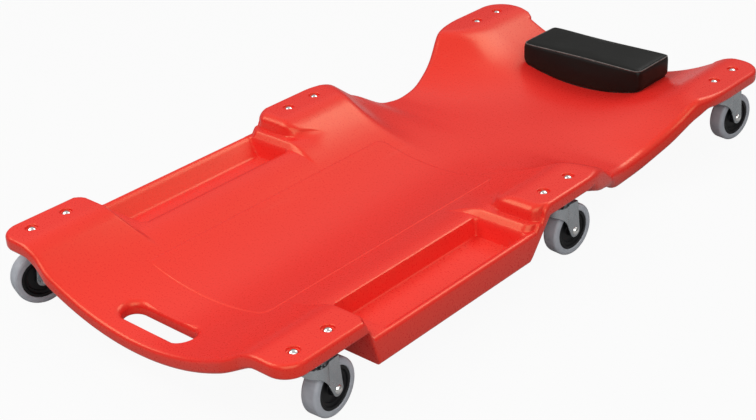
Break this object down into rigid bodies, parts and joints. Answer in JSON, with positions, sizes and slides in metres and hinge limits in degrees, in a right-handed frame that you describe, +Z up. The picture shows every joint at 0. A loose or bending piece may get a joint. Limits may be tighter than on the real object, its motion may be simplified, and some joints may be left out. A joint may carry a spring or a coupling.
{
  "type": "mechanic creeper",
  "caption": "Low moulded lying board with a troughed bed, side tool trays, a hand slot and a padded headrest, rolling on swivel casters.",
  "frame": {"origin": "on the floor under the middle of the deck", "axes": "+Y along the deck towards the headrest, +Z up from the floor, X across the deck"},
  "size_m": [0.48, 0.978, 0.1035],
  "materials": {
    "deck": "satin",
    "vinyl": "satin",
    "foam": "matte",
    "board": "matte",
    "zinc": "satin",
    "bright": "polished",
    "hub": "satin",
    "tread": "matte"
  },
  "bodies": {
    "deck": {"deck_shell": "deck", "deck_bolts": "bright", "deck_nuts": "zinc", "headrest_board": "board", "headrest_foam": "foam", "headrest_cover": "vinyl", "headrest_screws": "zinc", "upper_balls": "bright", "lower_balls": "bright", "lower_cups": "zinc", "kingpins": "zinc", "foot_left_plate": "zinc", "mid_left_plate": "zinc", "head_left_plate": "zinc", "foot_right_plate": "zinc", "mid_right_plate": "zinc", "head_right_plate": "zinc"},
    "foot_left_caster": {"foot_left_fork": "zinc", "foot_left_axle_bolt": "bright", "foot_left_axle_nut": "zinc", "foot_left_sleeve": "zinc"},
    "foot_left_wheel": {"foot_left_hub": "hub", "foot_left_tread": "tread"},
    "mid_left_caster": {"mid_left_fork": "zinc", "mid_left_axle_bolt": "bright", "mid_left_axle_nut": "zinc", "mid_left_sleeve": "zinc"},
    "mid_left_wheel": {"mid_left_hub": "hub", "mid_left_tread": "tread"},
    "head_left_caster": {"head_left_fork": "zinc", "head_left_axle_bolt": "bright", "head_left_axle_nut": "zinc", "head_left_sleeve": "zinc"},
    "head_left_wheel": {"head_left_hub": "hub", "head_left_tread": "tread"},
    "foot_right_caster": {"foot_right_fork": "zinc", "foot_right_axle_bolt": "bright", "foot_right_axle_nut": "zinc", "foot_right_sleeve": "zinc"},
    "foot_right_wheel": {"foot_right_hub": "hub", "foot_right_tread": "tread"},
    "mid_right_caster": {"mid_right_fork": "zinc", "mid_right_axle_bolt": "bright", "mid_right_axle_nut": "zinc", "mid_right_sleeve": "zinc"},
    "mid_right_wheel": {"mid_right_hub": "hub", "mid_right_tread": "tread"},
    "head_right_caster": {"head_right_fork": "zinc", "head_right_axle_bolt": "bright", "head_right_axle_nut": "zinc", "head_right_sleeve": "zinc"},
    "head_right_wheel": {"head_right_hub": "hub", "head_right_tread": "tread"}
  },
  "joints": [
    {"name": "foot_left_swivel", "type": "hinge", "parent": "deck", "child": "foot_left_caster", "pos_m": [-0.2147, -0.4245, 0.0733], "axis": [0, 0, 1], "continuous": true},
    {"name": "foot_left_spin", "type": "hinge", "parent": "foot_left_caster", "child": "foot_left_wheel", "pos_m": [-0.2215, -0.44542, 0.034], "axis": [0.9511, -0.309, 0], "continuous": true},
    {"name": "mid_left_swivel", "type": "hinge", "parent": "deck", "child": "mid_left_caster", "pos_m": [-0.2133, 0.009, 0.0733], "axis": [0, 0, 1], "continuous": true},
    {"name": "mid_left_spin", "type": "hinge", "parent": "mid_left_caster", "child": "mid_left_wheel", "pos_m": [-0.2156, 0.03088, 0.034], "axis": [-0.9945, -0.1045, 0], "continuous": true},
    {"name": "head_left_swivel", "type": "hinge", "parent": "deck", "child": "head_left_caster", "pos_m": [-0.2073, 0.4245, 0.0733], "axis": [0, 0, 1], "continuous": true},
    {"name": "head_left_spin", "type": "hinge", "parent": "head_left_caster", "child": "head_left_wheel", "pos_m": [-0.20807, 0.44649, 0.034], "axis": [-0.9994, -0.0349, 0], "continuous": true},
    {"name": "foot_right_swivel", "type": "hinge", "parent": "deck", "child": "foot_right_caster", "pos_m": [0.2147, -0.4245, 0.0733], "axis": [0, 0, 1], "continuous": true},
    {"name": "foot_right_spin", "type": "hinge", "parent": "foot_right_caster", "child": "foot_right_wheel", "pos_m": [0.21316, -0.40255, 0.034], "axis": [-0.9976, -0.0698, 0], "continuous": true},
    {"name": "mid_right_swivel", "type": "hinge", "parent": "deck", "child": "mid_right_caster", "pos_m": [0.2133, 0.009, 0.0733], "axis": [0, 0, 1], "continuous": true},
    {"name": "mid_right_spin", "type": "hinge", "parent": "mid_right_caster", "child": "mid_right_wheel", "pos_m": [0.2156, 0.03088, 0.034], "axis": [-0.9945, 0.1045, 0], "continuous": true},
    {"name": "head_right_swivel", "type": "hinge", "parent": "deck", "child": "head_right_caster", "pos_m": [0.2073, 0.4245, 0.0733], "axis": [0, 0, 1], "continuous": true},
    {"name": "head_right_spin", "type": "hinge", "parent": "head_right_caster", "child": "head_right_wheel", "pos_m": [0.21074, 0.44623, 0.034], "axis": [-0.9877, 0.1564, 0], "continuous": true}
  ]
}
